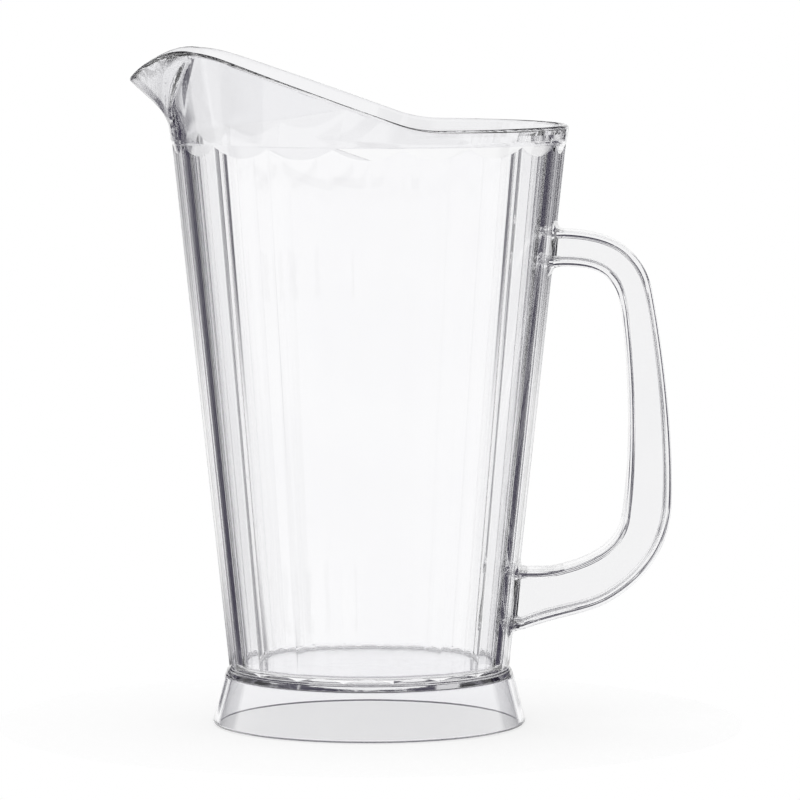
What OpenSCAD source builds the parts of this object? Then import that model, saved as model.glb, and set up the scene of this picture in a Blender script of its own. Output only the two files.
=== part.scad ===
// Clear plastic beer pitcher: a panelled vessel with a pouring collar, a hollow foot and a D handle.
// Millimetres. +Z is up. The origin is on the vessel's axis, in the plane that the foot stands on.
// The spout points along -X and the handle along +X.

/* [Vessel wall] */
// Number of flat panels around the outside
panel_count = 18; // [14:2:30]
// Height of the wall from the floor flange to the crease under the collar
wall_h = 184.1; // [170:0.1:220]
// Radius to the ridges between the panels at the bottom of the wall
ridge_base_r = 48.6; // [46:0.1:52]
// Radius to the ridges at the top of the wall
ridge_top_r = 68.25; // [62:0.05:76]
// Wall thickness at the middle of a panel
wall_t = 2.6; // [2:0.1:3.4]
// Depth taken off each ridge, which leaves a narrow land
ridge_ease = 0.08; // [0.04:0.01:0.2]
// How far the crease stands out past the ridges
crease_lip = 0.2; // [0.1:0.05:0.5]
// Depth of the scallops that hang under the crease
scallop_h = 4.4; // [3:0.1:8]
// How far the toe at the foot of the wall stands out past the ridges
toe_lip = 0.9; // [0.4:0.1:1.6]
// Height of the toe
toe_h = 2.4; // [1.5:0.1:5]

/* [Pouring collar] */
// Height of the level back rim above the crease
back_rim_h = 5.3; // [4.5:0.1:12]
// How far the back rim flares out past the crease
rim_flare = 0.75; // [0.2:0.05:2]
// Thickness of the collar at its rim, which is rounded over
rim_t = 2.4; // [1.8:0.1:3.2]
// Distance behind the axis at which the level back rim ends
level_back = 17; // [5:0.5:35]
// Slope of the rim up towards the spout, in degrees
rim_slope_angle = 19.3; // [10:0.1:24]
// Half length of the soft bend between the level rim and the slope
rim_blend = 8; // [2:0.5:15]
// Distance in front of the axis at which the rim starts to round over the crown
crown_start = 46; // [35:0.5:55]
// Height of the spout's tip above the crease
tip_h = 21.3; // [17:0.1:26]
// How far the spout's tip reaches out past the collar
spout_reach = 12.1; // [6:0.1:16]
// Height above the crease at which the spout leaves the collar
spout_root_h = 3.3; // [1:0.1:6]
// Height over which the spout bends out to its full slope
spout_bend_h = 11; // [6:0.1:14]
// Half angle of the spout about the axis, at its root
spout_root_angle = 8; // [6:0.5:14]
// Half angle of the spout about the axis, at the height of its tip
spout_rim_angle = 20; // [16:0.5:28]

/* [Floor and foot] */
// Thickness of the floor
floor_t = 4.2; // [3:0.1:6]
// Thickness of the floor's flange, which carries the wall
flange_t = 2.2; // [1.8:0.1:2.8]
// Radius of the fillet between the floor and the wall
floor_fillet_r = 1.8; // [1:0.1:3]
// Width of the narrow edge at the top of that fillet
fillet_edge_t = 0.2; // [0.1:0.05:0.4]
// Height of the foot under the floor
foot_h = 16.4; // [10:0.1:24]
// How far the top of the foot stands out past the toe of the wall
foot_step = 0.9; // [0.3:0.1:2]
// How far the foot flares out from its top to its standing edge
foot_flare = 4; // [2:0.1:8]
// Thickness of the foot's skirt
foot_t = 2.2; // [1.8:0.1:3]
// Rounding of the standing edge
foot_edge_r = 1.1; // [0.6:0.1:1.2]
// Rounding of the foot's inner bottom edge
foot_inner_edge_r = 0.6; // [0.3:0.1:0.7]
// Radius of the fillet between the skirt and the underside of the floor
foot_corner_r = 0.9; // [0.4:0.1:1.4]

/* [Handle] */
// Distance from the crease down to the top of the upper arm, where it meets the wall
handle_top_drop = 31.7; // [10:0.1:50]
// Distance from the bottom of the wall up to the underside of the lower arm, where it meets the wall
handle_low_rise = 13.4; // [8:0.1:30]
// How far the handle stands out from its seats
handle_depth = 46.7; // [38:0.1:60]
// Width of the handle's flanges
handle_w = 20; // [14:0.5:26]
// Thickness of the handle's flanges
grip_flange_t = 2.3; // [1.6:0.1:3]
// Thickness of the web between the flanges
web_t = 2.4; // [1.8:0.1:4]
// Thickness of the pads between the handle and the wall
saddle_t = 3; // [2.2:0.1:4]
// Height by which the pads flare out along the wall
saddle_flare = 3.5; // [2:0.1:6]

/* [Joints] */
// Thickness of the tongues that join the collar and the foot to the vessel
tongue_t = 0.8; // [0.6:0.1:1.2]
// Height of those tongues
tongue_h = 1.2; // [0.8:0.1:1.5]
// Thickness of the tabs that locate the handle in its pads
tab_t = 1.6; // [1:0.1:1.8]
// Length of those tabs up the wall
tab_l = 6; // [4:0.5:8]
// Depth of those tabs
tab_depth = 1.2; // [0.8:0.1:1.4]
// Clearance around tongues, tabs and the floor's plug
fit_gap = 0.1; // [0.06:0.01:0.15]

/* [Hidden] */

// Clear plastic, with the faint violet cast of the photographed one
clear_plastic = [0.92, 0.92, 0.96, 0.4];
// How far cuts run past what they cut
overrun = 2;
// Facets that stand for a true circle
round_fn = 96;

// Levels of the vessel, from the table up
wall_base_z = foot_h + flange_t;
floor_z = foot_h + floor_t;
crease_z = wall_base_z + wall_h;
back_rim_z = crease_z + back_rim_h;
tip_z = crease_z + tip_h;
spout_root_z = crease_z + spout_root_h;

// Panels: each runs between two ridges, and one ridge lies in the plane of the spout and handle
panel_angle = 360 / panel_count;
panel_share = cos(panel_angle / 2);
wall_lean = atan((ridge_top_r - ridge_base_r) / wall_h);
panel_lean = atan((ridge_top_r - ridge_base_r) * panel_share / wall_h);

function along(a, b, share) = a + (b - a) * share;
function ridge_r(z) = along(ridge_base_r, ridge_top_r, (z - wall_base_z) / wall_h);
function panel_r(z) = ridge_r(z) * panel_share;
function bore_r(z) = panel_r(z) - wall_t;
function reversed(points) = [for (i = [len(points) - 1:-1:0]) points[i]];

// Wall: toe, scallops and the tongue that carries the collar
toe_r = ridge_base_r + toe_lip;
toe_bend_share = 0.35;
toe_steps = 6;
crease_r = ridge_top_r + crease_lip;
scallop_z = crease_z - scallop_h;
collar_base_t = crease_r - bore_r(crease_z);
collar_tongue_r = bore_r(crease_z) + (collar_base_t - tongue_t) / 2;

function quadratic(a, b, c, s) = along(along(a, b, s), along(b, c, s), s);

toe_curve = [for (i = [0:toe_steps])
    quadratic([toe_r, wall_base_z],
              [ridge_base_r, wall_base_z + toe_h * toe_bend_share],
              [panel_r(wall_base_z + toe_h), wall_base_z + toe_h],
              i / toe_steps)];

// Collar: sections around the axis, closer together at the spout than at the back
collar_sections = 84;
collar_rows = 8;
spout_spacing_share = 0.4;
rim_steps = 4;
settle_passes = 24;
slope_step = rim_t / 100;
crown_power = 2.65;
// The spout's nose and the folds beside it are rounded over these shares of its half angle
spout_nose_share = 0.2;
spout_fold_share = 0.13;
// At its root the spout's channel is this share as wide as its outside
spout_bore_share = 0.6;
rim_flare_rate = rim_flare / back_rim_h;
rim_rise = tan(rim_slope_angle);
spout_rate = spout_reach / (tip_h - spout_root_h - spout_bend_h / 2);
tip_r = crease_r + rim_flare_rate * tip_h + spout_reach;
crown_drop = back_rim_z + rim_rise * (tip_r + level_back) - tip_z;

function spout_push(h) =
    h <= 0 ? 0
    : h < spout_bend_h ? spout_rate * h * h / (2 * spout_bend_h)
    : spout_rate * (h - spout_bend_h / 2);

function spout_half_angle(z) =
    along(spout_root_angle, spout_rim_angle, max(0, (z - spout_root_z) / (tip_z - spout_root_z)));

// How much of the spout's push a point at this angle from the spout takes, with narrowing below 1 inside
function spout_weight(angle, z, narrowing) =
    let (turn = angle / (narrowing * spout_half_angle(z)),
         inward = 1 + spout_nose_share - sqrt(turn * turn + spout_nose_share * spout_nose_share))
    inward < -spout_fold_share ? 0
    : inward < spout_fold_share ? pow(inward + spout_fold_share, 2) / (4 * spout_fold_share)
    : inward;

function collar_r(angle, z, narrowing = 1) =
    crease_r + rim_flare_rate * (z - crease_z)
    + spout_weight(angle, z, narrowing) * spout_push(z - spout_root_z);

// Height of the rim at a distance in front of the axis
function rim_line(fore) =
    let (run = fore + level_back,
         crown_share = max(0, (fore - crown_start) / (tip_r - crown_start)))
    run < -rim_blend ? back_rim_z
    : run < rim_blend ? back_rim_z + rim_rise * pow(run + rim_blend, 2) / (4 * rim_blend)
    : back_rim_z + rim_rise * run - crown_drop * pow(crown_share, crown_power);

// Height at which the flaring collar meets the rim line, settled by halving the error
function rim_z(angle, z, passes) =
    passes == 0 ? z
    : rim_z(angle, (z + rim_line(collar_r(angle, z) * cos(angle))) / 2, passes - 1);

function collar_slope(angle, z, narrowing) =
    (collar_r(angle, z + slope_step, narrowing) - collar_r(angle, z - slope_step, narrowing))
    / (2 * slope_step);

// A point on the collar's wall: depth 0 is the outside and depth 1 the inside, and lift goes up the wall
function collar_point(angle, z, thickness, depth, lift, narrowing = 1) =
    let (slope = collar_slope(angle, z, narrowing),
         size = sqrt(1 + slope * slope))
    [collar_r(angle, z, narrowing) + thickness * (lift * slope - depth) / size,
     z + thickness * (lift + depth * slope) / size];

// One closed section: up the outside, over the rim, down the inside and around the groove for the tongue
function collar_section(angle) =
    let (top = rim_z(angle, back_rim_z, settle_passes) - rim_t / 2)
    concat(
        [[crease_r, crease_z]],
        [for (j = [1:collar_rows])
            collar_point(angle, along(crease_z, top, j / collar_rows), rim_t, 0, 0)],
        [for (k = [1:rim_steps - 1])
            collar_point(angle, top, rim_t,
                         (1 - cos(180 * k / rim_steps)) / 2, sin(180 * k / rim_steps) / 2)],
        [for (j = [collar_rows:-1:1])
            let (up_share = j / collar_rows)
            collar_point(angle, along(crease_z, top, up_share), along(collar_base_t, rim_t, up_share), 1, 0,
                         along(spout_bore_share, 1, pow(up_share, 3)))],
        [[bore_r(crease_z), crease_z],
         [collar_tongue_r - fit_gap, crease_z],
         [collar_tongue_r - fit_gap, crease_z + tongue_h + fit_gap],
         [collar_tongue_r + tongue_t + fit_gap, crease_z + tongue_h + fit_gap],
         [collar_tongue_r + tongue_t + fit_gap, crease_z]]);

function collar_angle(i) =
    let (turn_share = 2 * i / collar_sections - 1)
    180 * turn_share * along(spout_spacing_share, 1, abs(turn_share));

// Floor and foot
plug_base_r = bore_r(wall_base_z) - fit_gap;
plug_rim_z = floor_z + floor_fillet_r;
plug_rim_r = bore_r(plug_rim_z) - fit_gap;
floor_fillet_steps = 8;
foot_top_r = toe_r + foot_step;
foot_rim_r = foot_top_r + foot_flare;
foot_tongue_r = foot_top_r - (foot_t + tongue_t) / 2;
foot_lean = atan(foot_flare / foot_h);
foot_inner_r = foot_rim_r - foot_t;
foot_edge_steps = 8;

// Handle: its edges are curves in the frame of the seat line, which follows the wall's ridge.
// Each pair is a share of the handle's depth out from the seat and of its height between the arms.
outer_edge_shares = [
    [-0.15, 1.005], [0.36, 1.01], [0.58, 0.96], [0.68, 0.86],
    [0.78, 0.75], [0.96, 0.51], [1.00, 0.33],
    [1.03, 0.21], [0.86, 0.13], [0.62, 0.08],
    [0.45, 0.045], [0.14, 0.04], [-0.13, -0.01]];
inner_edge_shares = [
    [-0.11, 0.915], [0.28, 0.925], [0.42, 0.90], [0.50, 0.78],
    [0.61, 0.62], [0.68, 0.43], [0.66, 0.28],
    [0.65, 0.22], [0.48, 0.18], [0.23, 0.16],
    [0.12, 0.15], [-0.03, 0.16], [-0.20, 0.15]];
upper_seat_shares = [0.917, 1.005];
lower_seat_shares = [0.011, 0.155];
curve_steps = 10;
flare_steps = 6;
handle_low_z = wall_base_z + handle_low_rise;
handle_top_z = crease_z - handle_top_drop;

function seat_x(z) = ridge_r(z) + saddle_t;
function handle_z(share) = along(handle_low_z, handle_top_z, share);
function handle_point(shares) = [seat_x(handle_z(shares[1])) + shares[0] * handle_depth, handle_z(shares[1])];
function cubic(p, first, s) =
    along(quadratic(p[first], p[first + 1], p[first + 2], s),
          quadratic(p[first + 1], p[first + 2], p[first + 3], s), s);
function handle_edge(shares) =
    let (p = [for (pair = shares) handle_point(pair)])
    concat([p[0]],
           [for (first = [0:3:len(p) - 4]) for (i = [1:curve_steps]) cubic(p, first, i / curve_steps)]);

// Moves an edge sideways, to the right of the way it runs
function side_step(points, distance) =
    [for (i = [0:len(points) - 1])
        let (run = points[min(len(points) - 1, i + 1)] - points[max(0, i - 1)])
        points[i] + distance * [run[1], -run[0]] / norm(run)];

outer_edge = handle_edge(outer_edge_shares);
inner_edge = handle_edge(inner_edge_shares);

module upright_slab(points, width) {
    rotate([90, 0, 0])
        linear_extrude(height = width, center = true)
            polygon(points);
}

module ring(inner_r, bottom_z, thickness, height) {
    rotate_extrude($fn = round_fn)
        translate([inner_r, bottom_z])
            square([thickness, height]);
}

module panelled_solid() {
    difference() {
        translate([0, 0, wall_base_z])
            cylinder(h = wall_h, r1 = ridge_base_r - ridge_ease, r2 = ridge_top_r - ridge_ease, $fn = round_fn);
        for (i = [0:panel_count - 1])
            rotate([0, 0, (i + 0.5) * panel_angle])
                translate([panel_r(wall_base_z), 0, wall_base_z])
                    rotate([0, panel_lean, 0])
                        translate([0, -ridge_top_r / 2, -overrun])
                            cube([ridge_top_r - panel_r(crease_z) + overrun,
                                  ridge_top_r,
                                  wall_h / cos(panel_lean) + 2 * overrun]);
    }
}

module panelled_wall() {
    color(clear_plastic) {
        difference() {
            union() {
                panelled_solid();
                rotate_extrude($fn = round_fn)
                    polygon(concat([[plug_base_r, wall_base_z]], toe_curve,
                                   [[plug_base_r, wall_base_z + toe_h]]));
                rotate_extrude($fn = round_fn)
                    polygon([[bore_r(scallop_z), scallop_z], [panel_r(scallop_z), scallop_z],
                             [crease_r, crease_z], [bore_r(scallop_z), crease_z]]);
                ring(collar_tongue_r, crease_z - tongue_h, tongue_t, 2 * tongue_h);
            }
            translate([0, 0, wall_base_z - overrun])
                cylinder(h = wall_h + 2 * overrun, r1 = bore_r(wall_base_z - overrun),
                         r2 = bore_r(crease_z + overrun), $fn = round_fn);
        }
    }
}

module spout_collar() {
    sections = [for (i = [0:collar_sections - 1]) collar_section(collar_angle(i))];
    loop = len(sections[0]);
    points = [for (i = [0:collar_sections - 1]) for (p = sections[i])
        [-p[0] * cos(collar_angle(i)), -p[0] * sin(collar_angle(i)), p[1]]];
    faces = [for (i = [0:collar_sections - 1]) for (k = [0:loop - 1])
        let (next_i = (i + 1) % collar_sections, next_k = (k + 1) % loop)
        for (face = [[i * loop + k, i * loop + next_k, next_i * loop + next_k],
                     [i * loop + k, next_i * loop + next_k, next_i * loop + k]])
        face];
    color(clear_plastic)
        polyhedron(points = points, faces = faces);
}

module floor_plate() {
    fillet = [for (i = [0:floor_fillet_steps])
        let (turn = 90 * i / floor_fillet_steps)
        [plug_rim_r - fillet_edge_t - floor_fillet_r, plug_rim_z] + floor_fillet_r * [cos(turn), -sin(turn)]];
    color(clear_plastic)
        difference() {
            rotate_extrude($fn = round_fn)
                polygon(concat([[0, foot_h], [foot_top_r, foot_h], [toe_r, wall_base_z],
                                [plug_base_r, wall_base_z], [plug_rim_r, plug_rim_z]],
                               fillet, [[0, floor_z]]));
            ring(foot_tongue_r - fit_gap, foot_h - overrun, tongue_t + 2 * fit_gap,
                 overrun + tongue_h + fit_gap);
        }
}

// Points around a rounded edge, from one turn to another
function edge_arc(centre, radius, from, to) =
    [for (i = [0:foot_edge_steps])
        let (turn = along(from, to, i / foot_edge_steps))
        centre + radius * [cos(turn), sin(turn)]];

module foot_skirt() {
    inner_edge_arc = edge_arc([foot_inner_r + foot_inner_edge_r, foot_inner_edge_r],
                              foot_inner_edge_r, 180 + foot_lean, 270);
    outer_edge_arc = edge_arc([foot_rim_r - foot_edge_r, foot_edge_r], foot_edge_r, -90, foot_lean);
    corner_arc = edge_arc([foot_top_r - foot_t - foot_corner_r, foot_h - foot_corner_r],
                          foot_corner_r, 90, foot_lean);
    color(clear_plastic)
        union() {
            rotate_extrude($fn = round_fn)
                polygon(concat(inner_edge_arc, outer_edge_arc, [[foot_top_r, foot_h]], corner_arc));
            ring(foot_tongue_r, foot_h - tongue_h, tongue_t, 2 * tongue_h);
        }
}

// A locating tab on the seat at this height, grown by the gap for its slot
module seat_tab(z, gap) {
    translate([seat_x(z), 0, z])
        rotate([0, wall_lean, 0])
            translate([-tab_depth - gap, -tab_t / 2 - gap, -tab_l / 2 - gap])
                cube([tab_depth + gap + overrun, tab_t + 2 * gap, tab_l + 2 * gap]);
}

function seat_middle(shares) = handle_z((shares[0] + shares[1]) / 2);

module handle_grip() {
    color(clear_plastic)
        union() {
            difference() {
                union() {
                    upright_slab(concat(outer_edge, reversed(side_step(outer_edge, grip_flange_t))), handle_w);
                    upright_slab(concat(inner_edge, reversed(side_step(inner_edge, -grip_flange_t))), handle_w);
                    upright_slab(concat(side_step(outer_edge, grip_flange_t / 2),
                                        reversed(side_step(inner_edge, -grip_flange_t / 2))), web_t);
                }
                upright_slab([[0, 0], [seat_x(0), 0], [seat_x(crease_z), crease_z], [0, crease_z]],
                             handle_w + overrun);
            }
            seat_tab(seat_middle(upper_seat_shares), 0);
            seat_tab(seat_middle(lower_seat_shares), 0);
        }
}

// A pad on the wall's ridge: its ends curve out from the handle's seat to the wall
module handle_saddle(seat_shares) {
    low_z = handle_z(seat_shares[0]);
    high_z = handle_z(seat_shares[1]);
    high_flare = [for (i = [0:flare_steps])
        let (turn = 90 * i / flare_steps, z = high_z + saddle_flare * (1 - cos(turn)))
        [seat_x(z) - saddle_t * sin(turn), z]];
    low_flare = [for (i = [0:flare_steps])
        let (turn = 90 * i / flare_steps, z = low_z - saddle_flare * (1 - cos(turn)))
        [seat_x(z) - saddle_t * sin(turn), z]];
    root = [handle_w / 2, 0];
    difference() {
        upright_slab(concat(high_flare, [high_flare[flare_steps] - root, low_flare[flare_steps] - root],
                            reversed(low_flare)), handle_w);
        panelled_solid();
        seat_tab(seat_middle(seat_shares), fit_gap);
    }
}

module upper_handle_saddle() {
    color(clear_plastic)
        handle_saddle(upper_seat_shares);
}

module lower_handle_saddle() {
    color(clear_plastic)
        handle_saddle(lower_seat_shares);
}

panelled_wall();
spout_collar();
floor_plate();
foot_skirt();
handle_grip();
upper_handle_saddle();
lower_handle_saddle();
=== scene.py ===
import math

import bpy
import numpy as np
from bpy.props import FloatProperty, FloatVectorProperty, IntProperty, PointerProperty
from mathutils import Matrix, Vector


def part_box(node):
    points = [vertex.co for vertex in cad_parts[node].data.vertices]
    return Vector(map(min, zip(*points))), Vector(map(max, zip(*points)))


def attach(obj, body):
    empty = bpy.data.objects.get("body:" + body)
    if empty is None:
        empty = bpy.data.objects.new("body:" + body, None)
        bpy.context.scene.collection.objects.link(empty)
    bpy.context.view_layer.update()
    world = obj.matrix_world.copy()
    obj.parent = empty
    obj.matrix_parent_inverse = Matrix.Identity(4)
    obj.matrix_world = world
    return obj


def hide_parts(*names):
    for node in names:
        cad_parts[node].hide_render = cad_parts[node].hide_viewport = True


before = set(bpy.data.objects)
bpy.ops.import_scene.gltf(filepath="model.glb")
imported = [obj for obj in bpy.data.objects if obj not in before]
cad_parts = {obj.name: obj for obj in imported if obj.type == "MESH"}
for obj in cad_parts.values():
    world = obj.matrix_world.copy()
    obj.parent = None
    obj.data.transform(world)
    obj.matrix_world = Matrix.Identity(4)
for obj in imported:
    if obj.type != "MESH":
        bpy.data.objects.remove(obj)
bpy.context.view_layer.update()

bl_info = {
    "name": "Clear plastic pitcher",
    "version": (1, 0, 0),
    "blender": (4, 5, 0),
    "location": "View3D > Sidebar > Pitcher",
    "description": "Builds a clear moulded pitcher with a panelled wall, a pouring collar and a D handle",
    "category": "Add Mesh",
}

BODY = "root"
HANDLE_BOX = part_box("handle_grip")
FOOT_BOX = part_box("foot_skirt")
FLOOR_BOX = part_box("floor_plate")
# Two points closer than this are one point of a mesh
SNAP = 2e-7
# Columns of faces around the floor and the foot, and corners of the stage's floor disc
ROUND_COLUMNS = 288
DISC_CORNERS = 128
# Where each finish is scuffed most: a height above the table, and how far from it the scuffs reach, in metres
WEAR = {"wall": (0.06, 0.12), "collar": (0.225, 0.012), "floor": (0.02, 0.003), "foot": (0.0, 0.006),
        "handle": (0.11, 0.05)}
# Scales of the noise in the moulding ripple, the clouding and the scuffs
RIPPLE_SCALE, CLOUD_SCALE, SCUFF_SCALE = 55, 24, 420
# How much longer the ripple is up the wall, as a share of its scale, and the colour of the clouding
RIPPLE_STRETCH = (1, 1, 0.35)
CLOUD_COLOUR = (0.55, 0.54, 0.62)
# Sockets of a Mix node that mixes colours
MIX_FACTOR, MIX_A, MIX_B, MIX_RESULT = 0, 6, 7, 2
# Bounces of light that the double walls need
BOUNCES = {"max_bounces": 40, "glossy_bounces": 24, "transmission_bounces": 32, "transparent_max_bounces": 32}
# Dark flags around the pitcher: heading, half width, lowest and highest elevation in degrees
FLAGS = [(137, 14, -13, 12), (43, 14, -19, 34), (119, 4, -30, -3), (61, 4, -19, -3), (119, 4, 1.5, 12),
         (111, 4, -5.7, 12), (69, 4, -5.7, -3), (65, 8, 1.5, 34), (110, 5, -24, -8.5), (102, 4, -11.5, -8.5),
         (125, 4.5, -17, -12), (90, 17, 13, 40)]
# Dark parts of the room at the sides and behind the camera, given likewise, which show in reflections only
ROOM_DARKS = [(5, 17, -3.5, 4), (185, 15, -32, -20), (-5, 15, -32, -20), (276, 14, -40, -20),
              (270, 70, -11.5, 3)]
# The tent's top: the elevations over which it dims and how far, and those over which it goes dark
TENT_DIM = (5, 26, 0.35)
TENT_TOP = (28, 37)


def length(name, description, default):
    return FloatProperty(name=name, description=description, default=default, min=0, precision=5,
                         subtype="DISTANCE", unit="LENGTH")


def turn(name, description, degrees):
    return FloatProperty(name=name, description=description, default=math.radians(degrees),
                         subtype="ANGLE", unit="ROTATION")


def share(name, description, default):
    return FloatProperty(name=name, description=description, default=default, min=0, max=1,
                         subtype="FACTOR", precision=4)


def colour(name, description, default):
    return FloatVectorProperty(name=name, description=description, default=default, size=3,
                               min=0, max=1, subtype="COLOR")


class VesselSizes(bpy.types.PropertyGroup):
    """Sizes of the panelled wall and the floor in it"""
    panel_count: IntProperty(name="Panels", description="Flat panels around the wall", default=18, min=6)
    wall_base: length("Wall base", "Height of the bottom of the wall above the table", 0.0186)
    crease_height: length("Crease", "Height of the crease under the collar", 0.2027)
    ridge_base_radius: length("Ridge base", "Radius to the ridges at the bottom of the wall", 0.0486)
    ridge_top_radius: length("Ridge top", "Radius to the ridges at the crease", 0.06825)
    wall_thickness: length("Wall thickness", "Thickness at the middle of a panel", 0.0026)
    ridge_rounding: share("Ridge rounding", "Rounding of the ridges as a share of the panels' radius", 0.05)
    crease_lip: length("Crease lip", "How far the crease stands out past the ridges", 0.0002)
    scallop_height: length("Scallops", "Depth of the scallops under the crease", 0.0044)
    toe_lip: length("Toe lip", "How far the toe stands out past the ridges", 0.0009)
    toe_height: length("Toe height", "Height of the toe at the bottom of the wall", 0.0024)
    toe_bend: share("Toe bend", "Share of the toe's height at which it bends up", 0.35)
    floor_height: length("Floor", "Height of the top of the floor", 0.0206)
    floor_fillet: length("Floor fillet", "Rounding between the floor and the wall", 0.0018)


class CollarSizes(bpy.types.PropertyGroup):
    """Sizes of the pouring collar"""
    back_rim_height: length("Back rim", "Height of the level back rim above the crease", 0.0053)
    rim_flare: length("Rim flare", "How far the back rim flares out past the crease", 0.00075)
    rim_thickness: length("Rim thickness", "Thickness at the rim, which is rounded over", 0.0024)
    level_back: length("Level back", "Distance behind the axis at which the level rim ends", 0.017)
    rim_slope: turn("Rim slope", "Slope of the rim up towards the spout", 19.3)
    rim_blend: length("Rim bend", "Half length of the bend between the level rim and the slope", 0.008)
    crown_start: length("Crown start", "Distance in front of the axis where the rim rounds over", 0.046)
    crown_power: FloatProperty(name="Crown power", description="How late the rim rounds over", default=2.65)
    tip_height: length("Tip height", "Height of the spout's tip above the crease", 0.0213)
    spout_reach: length("Spout reach", "How far the tip reaches out past the collar", 0.0121)
    spout_root_height: length("Spout root", "Height above the crease where the spout starts", 0.0033)
    spout_bend_height: length("Spout bend", "Height over which the spout bends out", 0.011)
    spout_root_angle: turn("Root angle", "Half angle of the spout at its root", 8)
    spout_rim_angle: turn("Rim angle", "Half angle of the spout at the height of its tip", 20)
    spout_bore: share("Spout bore", "Half angle of the spout's inside at its root over its outside's", 0.6)
    spout_nose: share("Spout nose", "Rounding of the spout's nose as a share of its half angle", 0.2)
    spout_fold: share("Spout fold", "Rounding of the folds beside it as a share of its half angle", 0.13)


class FootSizes(bpy.types.PropertyGroup):
    """Sizes of the hollow foot"""
    foot_height: length("Foot height", "Height of the underside of the floor", FLOOR_BOX[0].z)
    top_radius: length("Top radius", "Outer radius at the top of the foot", FLOOR_BOX[1].x)
    rim_radius: length("Rim radius", "Outer radius at the standing edge", FOOT_BOX[1].x)
    skirt_thickness: length("Skirt thickness", "Thickness of the skirt", 0.0022)
    edge_rounding: length("Edge rounding", "Rounding of the standing edge", 0.0011)
    inner_rounding: length("Inner rounding", "Rounding of the inner bottom edge", 0.0009)
    corner_fillet: length("Corner fillet", "Rounding between the floor's underside and the skirt", 0.0009)


class HandleSizes(bpy.types.PropertyGroup):
    """Sizes of the handle and of the pads that join it to the wall"""
    top_height: length("Top", "Height of the top of the upper arm at the wall", 0.171)
    low_height: length("Low", "Height of the underside of the lower arm at the wall", 0.032)
    depth: length("Depth", "How far the handle stands out from its pads", 0.0467)
    width: length("Width", "Width of the flanges", HANDLE_BOX[1].y - HANDLE_BOX[0].y)
    flange_thickness: length("Flange", "Thickness of the flanges", 0.0023)
    web_thickness: length("Web", "Thickness of the web between the flanges", 0.0024)
    edge_bevel: length("Edge bevel", "Width of the bevels on the flanges' edges", 0.00045)
    bevel_slope: turn("Bevel slope", "Slope of the bevels from the flanges' sides", 36)
    edge_rounding: length("Edge rounding", "Rounding at the ends of the bevels", 0.00015)
    web_fillet: length("Web fillet", "Rounding between the web and the flanges", 0.0008)
    pad_thickness: length("Pad", "Thickness of the pads between the handle and the wall", 0.003)
    pad_flare: length("Pad flare", "How far the pads flare out along the wall", 0.0035)
    pocket_flare: length("Pocket flare", "How far the flanges and web thicken at the wall", 0.0009)
    pad_gap: length("Pad gap", "Hairline between the pads and the wall", 0.00002)


class PlasticLook(bpy.types.PropertyGroup):
    """Colours and finish of the plastic"""
    wall_tint: colour("Wall", "Tint of the panelled wall", (0.985, 0.985, 0.99))
    collar_tint: colour("Collar", "Tint of the collar", (0.93, 0.93, 0.94))
    floor_tint: colour("Floor", "Tint of the floor plate", (0.96, 0.958, 0.975))
    # The foot's tint is partly the plastic's own faint tint, and partly painted light: it is set lighter than
    # the collar's and the floor's so that the shadowed floor seen through the foot reads lighter
    foot_tint: colour("Foot", "Tint of the foot", (0.965, 0.965, 0.975))
    handle_tint: colour("Handle", "Tint of the handle and its pads", (0.985, 0.985, 0.99))
    refraction: FloatProperty(name="Refraction", description="Index of refraction", default=1.57, min=1)
    polish: share("Polish", "Roughness of the clean plastic", 0.012)
    scuff: share("Scuff", "Roughness where the plastic is scuffed", 0.1)
    ripple: length("Ripple", "Depth of the moulding ripple", 0.00002)
    clouding: share("Clouding", "Depth of the faint clouding", 0.03)


class StudioLook(bpy.types.PropertyGroup):
    """The floor, the light and the camera"""
    backdrop: colour("Backdrop", "Colour of the backdrop", (1, 1, 1))
    flag: colour("Flags", "Colour of the dark flags", (0.055, 0.05, 0.075))
    ambient: colour("Room", "Light from the room on plain surfaces", (0.9, 0.9, 0.9))
    soft_edge: turn("Soft edge", "Half width of the fade at a flag's edge", 1)
    floor_radius: length("Floor radius", "Radius of the floor disc", 0.13)
    floor_drop: length("Floor drop", "How far the floor disc lies under the standing edge", 0.0003)
    floor_colour: colour("Floor", "Colour of the floor", (0.34, 0.34, 0.34))
    floor_lift: share("Floor lift", "Light that the pale floor adds for the camera", 0.72)
    camera_distance: length("Camera distance", "How far in front of the axis the camera stands", 2.02)
    camera_height: length("Camera height", "Height of the camera above the table", 0.28)
    camera_side: length("Camera side", "How far to the handle's side the camera stands", 0.0107)
    camera_tilt: turn("Camera tilt", "How far down the camera looks", 4.741)
    focal_length: FloatProperty(name="Focal length", description="Lens in millimetres for a 36 mm sensor",
                                default=262.9)


GROUPS = {"pitcher_vessel": VesselSizes, "pitcher_collar": CollarSizes, "pitcher_foot": FootSizes,
          "pitcher_handle": HandleSizes, "pitcher_plastic": PlasticLook, "pitcher_studio": StudioLook}


def along(a, b, part):
    return a + (b - a) * part


def unit(vectors):
    return vectors / np.maximum(np.linalg.norm(vectors, axis=-1, keepdims=True), 1e-12)


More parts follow.
